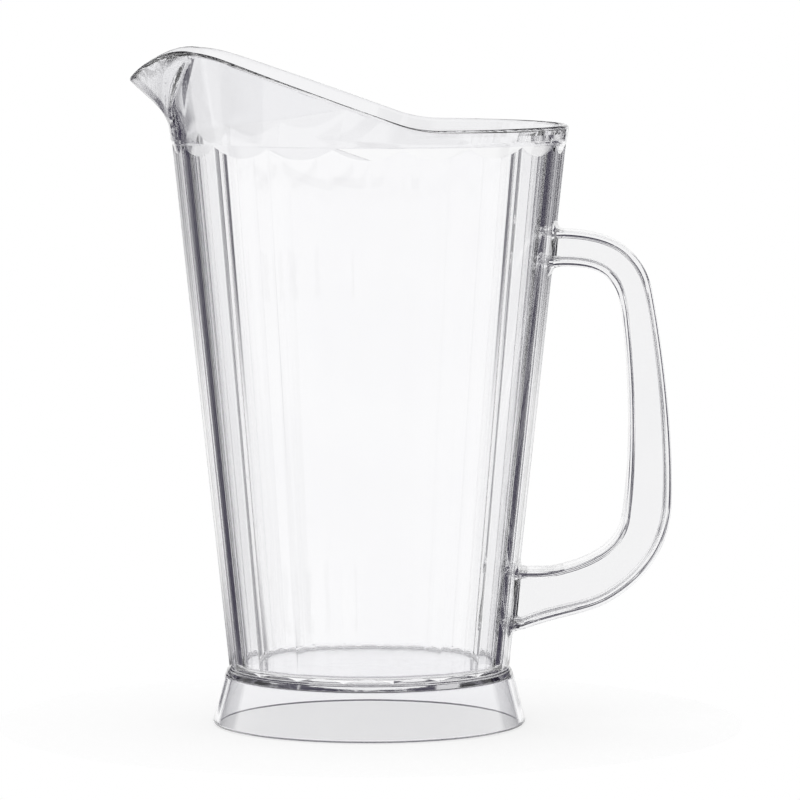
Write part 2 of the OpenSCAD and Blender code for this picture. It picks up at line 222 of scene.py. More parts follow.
class Skin:
    """A closed mesh in the making: patches of points with normals, which share the points where they meet."""

    def __init__(self):
        self.numbers = {}
        self.points = []
        self.faces = []
        self.normals = []
        self.welds = []

    def number(self, point):
        key = tuple(int(round(c / SNAP)) for c in point)
        if key not in self.numbers:
            self.numbers[key] = len(self.points)
            self.points.append(tuple(point))
        return self.numbers[key]

    def face(self, corners, normals, weld):
        kept = [i for i in range(len(corners)) if corners[i] != corners[i - 1]]
        if len(kept) > 2:
            self.faces.append([corners[i] for i in kept])
            self.normals.extend(normals[i] for i in kept)
            self.welds.append(weld)

    def patch(self, points, normals, weld=False):
        """Adds a grid of quads that face the way their normals point. A weld is fused to another piece."""
        across = np.cross(points[1:, :-1] - points[:-1, :-1], points[:-1, 1:] - points[:-1, :-1])
        outward = np.sum(across * normals[:-1, :-1]) > 0
        ring = [(0, 0), (1, 0), (1, 1), (0, 1)] if outward else [(0, 0), (0, 1), (1, 1), (1, 0)]
        numbers = [[self.number(p) for p in row] for row in points]
        for i in range(points.shape[0] - 1):
            for j in range(points.shape[1] - 1):
                self.face([numbers[i + a][j + b] for a, b in ring],
                          [normals[i + a, j + b] for a, b in ring], weld)

    def lathe(self, angles, profile, normals, weld=False):
        """Turns a profile of radius and height about the vessel's axis."""
        profile, normals = np.asarray(profile, float), unit(np.asarray(normals, float))
        self.patch(turned(angles, profile), turned(angles, normals), weld)

    def cap(self, points, normal, weld=False):
        """Adds one flat face on a loop of points."""
        loop = np.asarray(points)
        spin = np.sum(np.cross(loop - loop.mean(0), np.roll(loop, -1, 0) - loop.mean(0)), 0)
        loop = loop if spin @ normal > 0 else loop[::-1]
        self.face([self.number(p) for p in loop], [normal] * len(loop), weld)

    def build(self, name, finish, node):
        """Makes the piece, with its smooth normals, and puts it in its CAD node's place."""
        mesh = bpy.data.meshes.new(name)
        mesh.from_pydata(self.points, [], self.faces)
        if mesh.validate():
            raise RuntimeError(f"{name}: the mesh has faces that Blender can't keep")
        mesh.materials.append(finish)
        mesh.materials.append(weld_material())
        mesh.polygons.foreach_set("material_index", [int(weld) for weld in self.welds])
        mesh.shade_smooth()
        mesh.normals_split_custom_set([tuple(n) for n in self.normals])
        mesh.update()
        piece = bpy.data.objects.new(name, mesh)
        bpy.context.scene.collection.objects.link(piece)
        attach(piece, BODY)
        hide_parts(node)
        return piece


def turned(angles, profile):
    """A profile of radius and height, set around the axis at each of the angles."""
    radius, height = profile[:, 0], profile[:, 1]
    return np.stack([np.outer(np.cos(angles), radius), np.outer(np.sin(angles), radius),
                     np.broadcast_to(height, (len(angles), len(height)))], axis=-1)


def arc(centre, radius, start, end, steps=8):
    """Points of an arc and their outward normals, in degrees."""
    angle = np.radians(np.linspace(start, end, steps + 1))
    normals = np.stack([np.cos(angle), np.sin(angle)], axis=-1)
    return np.asarray(centre) + radius * normals, normals


class VesselForm:
    """The vessel's lines that several pieces share."""

    def __init__(self, scene):
        size = scene.pitcher_vessel
        self.size = size
        self.panel_angle = 2 * math.pi / size.panel_count
        self.flat_share = math.cos(self.panel_angle / 2)
        self.crease_radius = size.ridge_top_radius + size.crease_lip
        self.toe_radius = size.ridge_base_radius + size.toe_lip
        self.toe_top = size.wall_base + size.toe_height
        self.scallop_base = size.crease_height - size.scallop_height
        self.fillet_top = size.floor_height + size.floor_fillet
        half = self.panel_angle / 2
        self.ridge_reach = half - math.atan((1 - size.ridge_rounding) * math.tan(half))

    def ridge_radius(self, z):
        size = self.size
        return along(size.ridge_base_radius, size.ridge_top_radius,
                     (z - size.wall_base) / (size.crease_height - size.wall_base))

    def panel_radius(self, z):
        return self.ridge_radius(z) * self.flat_share

    def bore_radius(self, z):
        return self.panel_radius(z) - self.size.wall_thickness

    def outline(self, angle):
        """Radius of the panelled outline with its rounded ridges, over the radius to the panels."""
        half = self.panel_angle / 2
        from_ridge = np.abs((angle + half) % self.panel_angle - half)
        centre = (1 - self.size.ridge_rounding) / math.cos(half)
        inside = self.size.ridge_rounding ** 2 - (centre * np.sin(from_ridge)) ** 2
        rounded = centre * np.cos(from_ridge) + np.sqrt(np.maximum(inside, 0))
        return np.where(from_ridge < self.ridge_reach, rounded, 1 / np.cos(half - from_ridge))

    def wall_x(self, y, z):
        """How far out the wall's surface is on the handle's side, at a distance y from the handle's plane."""
        angle = np.zeros_like(y)
        for _ in range(6):
            radius = self.panel_radius(z) * self.outline(angle)
            angle = np.arcsin(y / radius)
        return radius * np.cos(angle)

    def columns(self):
        """Angles around the wall, close together on the rounded ridges."""
        reach, step = self.ridge_reach, self.panel_angle
        one = np.concatenate([np.linspace(0, reach, 4)[:-1], np.linspace(reach, step - reach, 13),
                              np.linspace(step - reach, step, 4)[1:-1]])
        return np.concatenate([one + i * step for i in range(self.size.panel_count)] + [[2 * math.pi]])

    def toe(self, part):
        """Radius and height on the toe's curve."""
        size = self.size
        points = np.array([[self.toe_radius, size.wall_base],
                           [size.ridge_base_radius, size.wall_base + size.toe_height * size.toe_bend],
                           [self.panel_radius(self.toe_top), self.toe_top]])
        part = np.asarray(part)[..., None]
        return along(along(points[0], points[1], part), along(points[1], points[2], part), part)


def even_angles(count):
    return np.linspace(0, 2 * math.pi, count + 1)


def surface(place, u, v, outward):
    """Points of a surface on a grid of u and v, and its normals, turned to the side that outward gives."""
    step = 1e-5
    points = place(u, v)
    normals = unit(np.cross(place(u + step, v) - place(u - step, v), place(u, v + step) - place(u, v - step)))
    side = np.sign(np.sum(normals * outward(points), axis=-1, keepdims=True))
    return points, normals * side


def from_axis(points):
    return unit(points * np.array([1.0, 1.0, 0.0]))


def to_axis(points):
    return -from_axis(points)


def polar(angle, radius, z):
    return np.stack([radius * np.cos(angle), radius * np.sin(angle), z], axis=-1)


def make_wall(scene):
    form, size = VesselForm(scene), scene.pitcher_vessel
    angles = form.columns()
    outline = form.outline(angles)
    skin = Skin()

    # Where the toe's curve leaves each panel
    low, high = np.zeros_like(angles), np.ones_like(angles)
    for _ in range(40):
        middle = (low + high) / 2
        radius, z = np.moveaxis(form.toe(middle), -1, 0)
        outside = radius > form.panel_radius(z) * outline
        low, high = np.where(outside, middle, low), np.where(outside, high, middle)
    toe_share = (low + high) / 2
    toe_end = form.toe(toe_share)[..., 1]

    # Where the flare under the crease leaves each panel
    scallop_radius = form.panel_radius(form.scallop_base)
    flare = (form.crease_radius - scallop_radius) / size.scallop_height
    lean = (form.panel_radius(1) - form.panel_radius(0)) * outline
    flare_start = form.scallop_base + scallop_radius * (outline - 1) / (flare - lean)

    def toe_place(u, v):
        radius, z = np.moveaxis(form.toe(v * np.interp(u, angles, toe_share)), -1, 0)
        return polar(u, radius, z)

    def panel_place(u, v):
        z = along(np.interp(u, angles, toe_end), np.interp(u, angles, flare_start), v)
        return polar(u, form.panel_radius(z) * form.outline(u), z)

    def flare_place(u, v):
        z = along(np.interp(u, angles, flare_start), size.crease_height, v)
        return polar(u, scallop_radius + flare * (z - form.scallop_base), z)

    def bore_place(u, v):
        z = along(form.fillet_top, size.crease_height, v)
        return polar(u, form.bore_radius(z), z)

    for place, rows, outward in [(toe_place, 6, from_axis), (panel_place, 12, from_axis),
                                 (flare_place, 3, from_axis), (bore_place, 12, to_axis)]:
        u, v = np.meshgrid(angles, np.linspace(0, 1, rows + 1), indexing="ij")
        skin.patch(*surface(place, u, v, outward))

    bore_top, bore_low = form.bore_radius(size.crease_height), form.bore_radius(size.wall_base)
    skin.lathe(angles, [[form.crease_radius, size.crease_height], [bore_top, size.crease_height]],
               [[0, 1], [0, 1]], weld=True)
    skin.lathe(angles, [[form.bore_radius(form.fillet_top), form.fillet_top], [bore_low, size.wall_base]],
               [[-1, 0], [-1, 0]], weld=True)
    skin.lathe(angles, [[bore_low, size.wall_base], [form.toe_radius, size.wall_base]],
               [[0, -1], [0, -1]], weld=True)
    return skin


class CollarForm:
    """The collar's surface: an angle is measured from the spout, and a height from the table."""

    def __init__(self, scene):
        self.size = size = scene.pitcher_collar
        self.form = VesselForm(scene)
        self.crease = scene.pitcher_vessel.crease_height
        self.back_rim = self.crease + size.back_rim_height
        self.tip = self.crease + size.tip_height
        self.root = self.crease + size.spout_root_height
        self.flare_rate = size.rim_flare / size.back_rim_height
        self.rise = math.tan(size.rim_slope)
        bent_height = size.spout_root_height + size.spout_bend_height / 2
        self.push_rate = size.spout_reach / (size.tip_height - bent_height)
        self.tip_radius = self.form.crease_radius + self.flare_rate * size.tip_height + size.spout_reach
        self.crown_drop = self.back_rim + self.rise * (self.tip_radius + size.level_back) - self.tip
        self.base_thickness = self.form.crease_radius - self.form.bore_radius(self.crease)

    def radius(self, angle, z, narrowing=1):
        size = self.size
        lift = np.maximum((z - self.root) / (self.tip - self.root), 0)
        part = angle / (narrowing * along(size.spout_root_angle, size.spout_rim_angle, lift))
        inward = 1 + size.spout_nose - np.sqrt(part ** 2 + size.spout_nose ** 2)
        fold = np.maximum(inward + size.spout_fold, 0) ** 2 / (4 * size.spout_fold)
        weight = np.where(inward < size.spout_fold, fold, inward)
        height = np.maximum(z - self.root, 0)
        bend = size.spout_bend_height
        push = self.push_rate * np.where(height < bend, height ** 2 / (2 * bend), height - bend / 2)
        return self.form.crease_radius + self.flare_rate * (z - self.crease) + weight * push

    def rim_line(self, fore):
        size = self.size
        run = fore + size.level_back
        bend = self.rise * (run + size.rim_blend) ** 2 / (4 * size.rim_blend)
        crown = np.maximum(0, (fore - size.crown_start) / (self.tip_radius - size.crown_start))
        slope = self.rise * run - self.crown_drop * crown ** size.crown_power
        return self.back_rim + np.where(run < -size.rim_blend, 0, np.where(run < size.rim_blend, bend, slope))

    def rim_centre(self, angle):
        """Height of the middle of the rounded rim."""
        z = np.full_like(angle, self.back_rim)
        for _ in range(24):
            z = (z + self.rim_line(self.radius(angle, z) * np.cos(angle))) / 2
        return z - self.size.rim_thickness / 2

    def place(self, angle, z, thickness, depth, lift, tilt=1, narrowing=1):
        """A point of the collar: depth 0 is its outside, depth 1 its inside. Lift goes up over the rim."""
        step = self.size.rim_thickness / 100
        rise = self.radius(angle, z + step, narrowing) - self.radius(angle, z - step, narrowing)
        slope = tilt * rise / (2 * step)
        size = np.sqrt(1 + slope ** 2)
        radius = self.radius(angle, z, narrowing) + thickness * (lift * slope - depth) / size
        return polar(angle + math.pi, radius, z + thickness * (lift + depth * slope) / size)


def make_collar(scene):
    form = CollarForm(scene)
    rim = scene.pitcher_collar.rim_thickness
    spread = np.linspace(-1, 1, 481)
    angles = math.pi * spread * along(0.5, 1, np.abs(spread))
    top = form.rim_centre(angles)

    def outside(u, v):
        z = along(form.crease, np.interp(u, angles, top, period=2 * math.pi), v)
        return form.place(u, z, rim, 0, 0)

    def rim_bend(u, v):
        z = np.interp(u, angles, top, period=2 * math.pi)
        return form.place(u, z, rim, (1 - np.cos(math.pi * v)) / 2, np.sin(math.pi * v) / 2)

    def inside(u, v):
        """The inside starts upright at the crease and soon takes the outside's tilt."""
        z = along(form.crease, np.interp(u, angles, top, period=2 * math.pi), v)
        narrowing = along(scene.pitcher_collar.spout_bore, 1, v ** 3)
        return form.place(u, z, along(form.base_thickness, rim, v), 1, 0, np.clip(8 * v, 0, 1), narrowing)

    skin = Skin()
    grids = {}
    for name, place, rows in [("outside", outside, 24), ("rim", rim_bend, 10), ("inside", inside, 24)]:
        u, v = np.meshgrid(angles, np.linspace(0, 1, rows + 1), indexing="ij")
        if name == "outside":
            points, normals = surface(place, u, v, from_axis)
        elif name == "inside":
            points, normals = surface(place, u, v, to_axis)
        else:
            centre = (place(u, np.zeros_like(v)) + place(u, np.ones_like(v))) / 2
            points, normals = surface(place, u, v, lambda p: p - centre)
        skin.patch(points, normals)
        grids[name] = points
    low = np.stack([grids["outside"][:, 0], grids["inside"][:, 0]], axis=1)
    skin.patch(low, np.broadcast_to([0.0, 0.0, -1.0], low.shape), weld=True)
    return skin


def make_floor(scene):
    form, size, foot = VesselForm(scene), scene.pitcher_vessel, scene.pitcher_foot
    angles = even_angles(ROUND_COLUMNS)
    under = foot.top_radius - foot.skirt_thickness - foot.corner_fillet
    rim = form.bore_radius(form.fillet_top)
    inset = form.bore_radius(size.wall_base)
    skin = Skin()
    skin.lathe(angles, [[0, foot.foot_height], [under / 2, foot.foot_height], [under, foot.foot_height]],
               [[0, -1]] * 3)
    skin.lathe(angles, [[under, foot.foot_height], [foot.top_radius, foot.foot_height]], [[0, -1]] * 2,
               weld=True)
    lean = [size.wall_base - foot.foot_height, foot.top_radius - form.toe_radius]
    skin.lathe(angles, [[foot.top_radius, foot.foot_height], [form.toe_radius, size.wall_base]], [lean] * 2)
    skin.lathe(angles, [[form.toe_radius, size.wall_base], [inset, size.wall_base]], [[0, 1]] * 2, weld=True)
    skin.lathe(angles, [[inset, size.wall_base], [rim, form.fillet_top]], [[1, 0]] * 2, weld=True)
    bend, bend_normals = arc([rim - size.floor_fillet, form.fillet_top], size.floor_fillet, 0, -90)
    skin.lathe(angles, bend, -bend_normals)
    flat = rim - size.floor_fillet
    skin.lathe(angles, [[flat, size.floor_height], [flat / 2, size.floor_height], [0, size.floor_height]],
               [[0, 1]] * 3)
    return skin


def make_foot(scene):
    foot = scene.pitcher_foot
    angles = even_angles(ROUND_COLUMNS)
    under = foot.top_radius - foot.skirt_thickness
    inner_rim = foot.rim_radius - foot.skirt_thickness
    lean = math.degrees(math.atan2(foot.rim_radius - foot.top_radius, foot.foot_height))
    outer, outer_normals = arc([foot.rim_radius - foot.edge_rounding, foot.edge_rounding],
                               foot.edge_rounding, lean, -90)
    inner, inner_normals = arc([inner_rim + foot.inner_rounding, foot.inner_rounding],
                               foot.inner_rounding, 270, 180 + lean)
    fillet = foot.corner_fillet
    corner, corner_normals = arc([under - fillet, foot.foot_height - fillet], fillet, lean, 90)
    skin = Skin()
    skin.lathe(angles, np.vstack([[[foot.top_radius, foot.foot_height]], outer, inner, corner]),
               np.vstack([outer_normals[:1], outer_normals, inner_normals, -corner_normals]))
    skin.lathe(angles, [corner[-1], [foot.top_radius, foot.foot_height]], [[0, 1]] * 2, weld=True)
    return skin


class HandleForm:
    """The handle's two edges, in the frame of the line along the wall that its pads follow."""

    # Shares of the handle's depth out from the pads, and of its height between the arms
    OUTER = [(-0.15, 1.005), (0.36, 1.01), (0.58, 0.96), (0.68, 0.86), (0.78, 0.75), (0.96, 0.51),
             (1.00, 0.33), (1.03, 0.21), (0.86, 0.13), (0.62, 0.08), (0.45, 0.045), (0.14, 0.04),
             (-0.13, -0.01)]
    INNER = [(-0.11, 0.915), (0.28, 0.925), (0.42, 0.90), (0.50, 0.78), (0.61, 0.62), (0.68, 0.43),
             (0.66, 0.28), (0.65, 0.22), (0.48, 0.18), (0.23, 0.16), (0.12, 0.15), (-0.03, 0.16),
             (-0.20, 0.15)]

    def __init__(self, scene):
        self.size = scene.pitcher_handle
        self.vessel = VesselForm(scene)
        self.steps = np.linspace(0, 4, 161)
        self.outer = self.edge(self.OUTER)
        self.inner = self.edge(self.INNER)
        reach = self.inner - self.outer
        self.depth = np.linalg.norm(reach, axis=1)
        self.across = reach / self.depth[:, None]

    def curve(self, shares, t):
        """Points of a chain of four cubic curves, as shares."""
        first = np.minimum(np.asarray(t).astype(int), 3)
        s = (t - first)[:, None]
        p = [np.asarray(shares)[3 * first + k] for k in range(4)]
        a, b, c = (along(p[k], p[k + 1], s) for k in range(3))
        return along(along(a, b, s), along(b, c, s), s)

    def edge(self, shares):
        """One edge from the upper pad to the lower one, as points of x and z."""
        fine = np.linspace(0, 1, 2001)
        start = np.interp(0, self.curve(shares, fine)[:, 0], fine)
        end = 4 - np.interp(0, self.curve(shares, 4 - fine)[:, 0], fine)
        t = np.where(self.steps < 1, along(start, 1, self.steps),
                     np.where(self.steps > 3, along(3, end, self.steps - 3), self.steps))
        points = self.curve(shares, t)
        z = along(self.size.low_height, self.size.top_height, points[:, 1])
        seat = self.vessel.ridge_radius(z) + self.size.pad_thickness
        return np.stack([seat + points[:, 0] * self.size.depth, z], axis=-1)

    def section(self):
        """The I section: the edge each point hangs from, its offset along the depth, its y and its normal."""
        size = self.size
        flange, half, web = size.flange_thickness, size.width / 2, size.web_thickness / 2
        bevel, fillet = size.edge_bevel, size.web_fillet
        drop = half - bevel * math.tan(size.bevel_slope)
        slope = math.pi / 2 - size.bevel_slope
        rows = [(0, 0, 0, -1, 0)]

        def corner(anchor, offset, y, start, end, radius):
            """An arc in a corner between two headings of its normal. A hollow corner has a minus radius."""
            turns = np.linspace(start, end, 6)
            reach = radius / math.cos((end - start) / 2)
            middle = (start + end) / 2
            centre = offset - reach * math.cos(middle), y - reach * math.sin(middle)
            rows.extend((anchor, centre[0] + radius * math.cos(a), centre[1] + radius * math.sin(a),
                         math.cos(a), math.sin(a)) for a in turns)

        for anchor, near, far in [(0, 0, flange), (1, -flange, 0)]:
            if anchor:
                corner(1, near, web, math.pi / 2, math.pi, -fillet)
            corner(anchor, near, drop, math.pi, math.pi - slope, size.edge_rounding)
            corner(anchor, near + bevel, half, math.pi - slope, math.pi / 2, size.edge_rounding)
            corner(anchor, far - bevel, half, math.pi / 2, slope, size.edge_rounding)
            corner(anchor, far, drop, slope, 0, size.edge_rounding)
            if not anchor:
                corner(0, far, web, 0, math.pi / 2, -fillet)
        rows.append((1, 0, 0, 1, 0))
        right = np.array(rows, float)
        left = right[-2:0:-1] * np.array([1, 1, -1, 1, -1])
        return np.vstack([right, left, right[:1]]), len(right)

    def sweep(self):
        """The grip's surface: points and normals around the section, at each step along the handle."""
        section, _ = self.section()
        anchor, offset, y, deep, wide = section.T
        base = self.outer[:, None] * (1 - anchor)[None, :, None] + self.inner[:, None] * anchor[None, :, None]
        flat = base + offset[None, :, None] * self.across[:, None]
        run = unit(np.gradient(flat, axis=0))
        side = np.stack([run[..., 1], -run[..., 0]], axis=-1)
        side *= np.sign(np.sum(side * self.across[:, None], axis=-1, keepdims=True))
        points = np.stack([flat[..., 0], np.broadcast_to(y, flat.shape[:2]), flat[..., 1]], axis=-1)
        normals = np.stack([side[..., 0] * deep, np.broadcast_to(wide, flat.shape[:2]),
                            side[..., 1] * deep], axis=-1)
        return points, unit(normals)


def halves(loop, right_count):
    """The two halves of a section's closed loop of points, one on each side of the handle's plane."""
    closed = loop[:-1]
    return closed[:right_count], np.vstack([closed[right_count - 1:], closed[:1]])


def make_grip(scene):
    form = HandleForm(scene)
    points, normals = form.sweep()
    _, right_count = form.section()
    skin = Skin()
    skin.patch(points, normals)
    for end, inward in [(0, 1), (-1, -2)]:
        out = points[end].mean(0) - points[inward].mean(0)
        for loop in halves(points[end], right_count):
            skin.cap(loop, unit(out * np.array([1.0, 0.0, 1.0])), weld=True)
    return skin


def make_pad(scene, end):
    """The pad at one end of the handle: the I section carried on to the wall, where it flares out."""
    form, size = HandleForm(scene), scene.pitcher_handle
    section, right_count = form.section()
    anchor, offset, y, deep, wide = section.T
    seat, _ = form.sweep()
    seat = seat[end]
    across = form.across[end]
    # The outer faces with their bevels flare out along the wall, and the rest only a little
    bevel_end = size.edge_bevel * 1.5
    face = np.abs(offset) < bevel_end
    flare_deep = deep * np.where(face, size.pad_flare, size.pocket_flare)
    pocket = np.abs(y) < size.width / 4
    flare_wide = wide * np.where(pocket, size.pocket_flare, 0)

    def place(u, v):
        column = np.clip(np.round(u).astype(int), 0, len(section) - 1)
        lift = 1 - np.cos(v)
        z = seat[column, 2] + across[1] * flare_deep[column] * lift
        side = seat[column, 1] + flare_wide[column] * lift
        start = form.vessel.ridge_radius(z) + size.pad_thickness
        end = form.vessel.wall_x(side, z) + size.pad_gap
        return np.stack([along(start, end, np.sin(v)), side, z], axis=-1)

    u, v = np.meshgrid(np.arange(len(section)), np.linspace(0, math.pi / 2, 13), indexing="ij")
    points = place(u, v)
    step = 1e-3
    inner_v = np.clip(v, 2 * step, math.pi / 2 - 2 * step)
    run = place(u, inner_v + step) - place(u, inner_v - step)
    flat = np.stack([deep * across[0], wide, deep * across[1]], axis=-1)[:, None]
    lean = np.sum(flat * run, axis=-1, keepdims=True) / np.sum(run * run, axis=-1, keepdims=True)
    normals = unit(flat - run * lean)
    skin = Skin()
    skin.patch(points, normals)
    for loop in halves(points[:, 0], right_count):
        skin.cap(loop, np.array([1.0, 0.0, 0.0]), weld=True)
    for loop in halves(points[:, -1], right_count):
        skin.cap(loop, np.array([-1.0, 0.0, 0.0]))
    return skin


def link(tree, source, target):
    tree.links.new(source, target)


def node(tree, kind, x, y, **values):
    made = tree.nodes.new(kind)
    made.location = (x, y)
    for name, value in values.items():
        setattr(made, name, value)
    return made


def maths(tree, operation, a, b, x, y):
    made = node(tree, "ShaderNodeMath", x, y, operation=operation)
    for socket, value in zip(made.inputs, (a, b)):
        if isinstance(value, (int, float)):
            socket.default_value = value
        elif value is not None:
            link(tree, value, socket)
    return made.outputs[0]


def span(tree, value, low, high, start, end, x, y, smooth=True):
    """Maps a value from one range to another, with soft ends."""
    made = node(tree, "ShaderNodeMapRange", x, y)
    made.interpolation_type = "SMOOTHSTEP" if smooth else "LINEAR"
    link(tree, value, made.inputs["Value"])
    for name, number in zip(("From Min", "From Max", "To Min", "To Max"), (low, high, start, end)):
        made.inputs[name].default_value = number
    return made.outputs["Result"]


def noise(tree, vector, scale, detail, x, y):
    made = node(tree, "ShaderNodeTexNoise", x, y)
    made.inputs["Scale"].default_value = scale
    made.inputs["Detail"].default_value = detail
    link(tree, vector, made.inputs["Vector"])
    return made


def mix(tree, factor, first, second, x, y, blend="MIX"):
    """Mixes two colours, each given as a socket or as a value."""
    made = node(tree, "ShaderNodeMix", x, y, data_type="RGBA", blend_type=blend)
    link(tree, factor, made.inputs[MIX_FACTOR])
    for place, value in ((MIX_A, first), (MIX_B, second)):
        if isinstance(value, bpy.types.NodeSocket):
            link(tree, value, made.inputs[place])
        else:
            made.inputs[place].default_value = (*value, 1)
    return made.outputs[MIX_RESULT]


def new_group(name, inputs, outputs):
    tree = bpy.data.node_groups.new(name, "ShaderNodeTree")
    for label, kind, default in inputs:
        socket = tree.interface.new_socket(label, in_out="INPUT", socket_type=kind)
        socket.default_value = default
    for label, kind in outputs:
        tree.interface.new_socket(label, in_out="OUTPUT", socket_type=kind)
    return tree, node(tree, "NodeGroupInput", -900, 0), node(tree, "NodeGroupOutput", 700, 0)


def moulded_skin():
    """Node group: the slow ripple and faint clouding that moulding leaves in clear plastic."""
    name = "moulded_skin"
    if name in bpy.data.node_groups:
        return bpy.data.node_groups[name]
    tree, given, out = new_group(
        name, [("Tint", "NodeSocketColor", (1, 1, 1, 1)), ("Clouding", "NodeSocketFloat", 0.02)],
        [("Colour", "NodeSocketColor"), ("Ripple", "NodeSocketFloat")])
    place = node(tree, "ShaderNodeTexCoord", -900, -260)
    stretch = node(tree, "ShaderNodeMapping", -700, -260)
    stretch.inputs["Scale"].default_value = RIPPLE_STRETCH
    link(tree, place.outputs["Object"], stretch.inputs["Vector"])
    waves = noise(tree, stretch.outputs["Vector"], RIPPLE_SCALE, 2, -480, -260)
    clouds = noise(tree, place.outputs["Object"], CLOUD_SCALE, 4, -480, 60)
    depth = maths(tree, "MULTIPLY", span(tree, clouds.outputs[0], 0.3, 0.75, 0, 1, -260, 60),
                  given.outputs["Clouding"], -40, 60)
    clouded = mix(tree, depth, given.outputs["Tint"], CLOUD_COLOUR, 200, 120, blend="MULTIPLY")
    link(tree, clouded, out.inputs["Colour"])
    link(tree, waves.outputs[0], out.inputs["Ripple"])
    return tree


def handling_wear():
    """Node group: fine hairline scuffs, with more of them near a given height."""
    name = "handling_wear"
    if name in bpy.data.node_groups:
        return bpy.data.node_groups[name]
    tree, given, out = new_group(
        name, [("Polish", "NodeSocketFloat", 0.012), ("Scuff", "NodeSocketFloat", 0.1),
               ("Worn height", "NodeSocketFloat", 0.0), ("Worn reach", "NodeSocketFloat", 0.01)],
        [("Roughness", "NodeSocketFloat")])
    place = node(tree, "ShaderNodeTexCoord", -900, -300)
    apart = node(tree, "ShaderNodeSeparateXYZ", -700, -420)
    link(tree, place.outputs["Object"], apart.inputs[0])
    above = maths(tree, "SUBTRACT", apart.outputs["Z"], given.outputs["Worn height"], -520, -420)
    off = maths(tree, "ABSOLUTE", above, None, -360, -420)
    near = node(tree, "ShaderNodeMapRange", -180, -420)
    near.interpolation_type = "SMOOTHSTEP"
    link(tree, off, near.inputs["Value"])
    link(tree, given.outputs["Worn reach"], near.inputs["From Max"])
    near.inputs["To Min"].default_value = 1
    near.inputs["To Max"].default_value = 0
    specks = noise(tree, place.outputs["Object"], SCUFF_SCALE, 5, -480, -120)
    specks.inputs["Distortion"].default_value = 0.6
    marks = span(tree, specks.outputs[0], 0.52, 0.72, 0, 1, -260, -120)
    worn = maths(tree, "MULTIPLY", marks, near.outputs["Result"], 20, -200)
    lifted = maths(tree, "MULTIPLY", worn, given.outputs["Scuff"], 200, -120)
    link(tree, maths(tree, "ADD", given.outputs["Polish"], lifted, 400, 0), out.inputs["Roughness"])
    return tree


def plastic_material(look, place):
    """Clear moulded plastic with its ripple, clouding and scuffs, for one place on the pitcher."""
    worn_height, worn_reach = WEAR[place]
    material = bpy.data.materials.new(f"clear_{place}")
    material.use_nodes = True
    tree = material.node_tree
    shader = tree.nodes["Principled BSDF"]
    shader.inputs["Transmission Weight"].default_value = 1
    shader.inputs["IOR"].default_value = look.refraction
    skin = node(tree, "ShaderNodeGroup", -600, 200, node_tree=moulded_skin())
    # Each place's own tint; the foot's is set lighter so that the shadowed floor seen through it reads
    # lighter, which is painted light
    skin.inputs["Tint"].default_value = (*getattr(look, f"{place}_tint"), 1)
    skin.inputs["Clouding"].default_value = look.clouding
    wear = node(tree, "ShaderNodeGroup", -600, -60, node_tree=handling_wear())
    wear.inputs["Polish"].default_value = look.polish
    wear.inputs["Scuff"].default_value = look.scuff
    wear.inputs["Worn height"].default_value = worn_height
    wear.inputs["Worn reach"].default_value = worn_reach
    bump = node(tree, "ShaderNodeBump", -300, -260)
    bump.inputs["Strength"].default_value = 1
    bump.inputs["Distance"].default_value = look.ripple
    link(tree, skin.outputs["Ripple"], bump.inputs["Height"])
    link(tree, skin.outputs["Colour"], shader.inputs["Base Color"])
    link(tree, wear.outputs["Roughness"], shader.inputs["Roughness"])
    link(tree, bump.outputs["Normal"], shader.inputs["Normal"])
    return material


def weld_material():
    """The faces where two pieces are fused. Light passes them as if they weren't there."""
    name = "weld_face"
    if name in bpy.data.materials:
        return bpy.data.materials[name]
    material = bpy.data.materials.new(name)
    material.use_nodes = True
    material.node_tree.nodes["Principled BSDF"].inputs["Alpha"].default_value = 0
    return material


class PITCHER_OT_panelled_wall(bpy.types.Operator):
    """Builds the tapered wall with its flat panels, scallops and toe"""
    bl_idname = "pitcher.panelled_wall"
    bl_label = "Panelled wall"

    def execute(self, context):
        scene = context.scene
        finish = plastic_material(scene.pitcher_plastic, "wall")
        make_wall(scene).build("vessel_wall", finish, "panelled_wall")
        return {"FINISHED"}


class PITCHER_OT_spout_collar(bpy.types.Operator):
    """Builds the smooth collar with its sloping rim and pouring beak"""
    bl_idname = "pitcher.spout_collar"
    bl_label = "Pouring collar"

    def execute(self, context):
        scene = context.scene
        finish = plastic_material(scene.pitcher_plastic, "collar")
        make_collar(scene).build("pouring_collar", finish, "spout_collar")
        return {"FINISHED"}


class PITCHER_OT_floor_plate(bpy.types.Operator):
    """Builds the thick floor with its flange"""
    bl_idname = "pitcher.floor_plate"
    bl_label = "Floor"

    def execute(self, context):
        scene = context.scene
        finish = plastic_material(scene.pitcher_plastic, "floor")
        make_floor(scene).build("vessel_floor", finish, "floor_plate")
        return {"FINISHED"}


class PITCHER_OT_foot_skirt(bpy.types.Operator):
    """Builds the flared hollow foot"""
    bl_idname = "pitcher.foot_skirt"
    bl_label = "Foot"

    def execute(self, context):
        scene = context.scene
        finish = plastic_material(scene.pitcher_plastic, "foot")
        make_foot(scene).build("hollow_foot", finish, "foot_skirt")
        return {"FINISHED"}


class PITCHER_OT_handle(bpy.types.Operator):
    """Builds the D handle and the two pads that join it to the wall"""
    bl_idname = "pitcher.handle"
    bl_label = "Handle and pads"

    def execute(self, context):
        scene = context.scene
        finish = plastic_material(scene.pitcher_plastic, "handle")
        make_grip(scene).build("handle_d_grip", finish, "handle_grip")
        make_pad(scene, 0).build("upper_handle_pad", finish, "upper_handle_saddle")
        make_pad(scene, -1).build("lower_handle_pad", finish, "lower_handle_saddle")
        return {"FINISHED"}


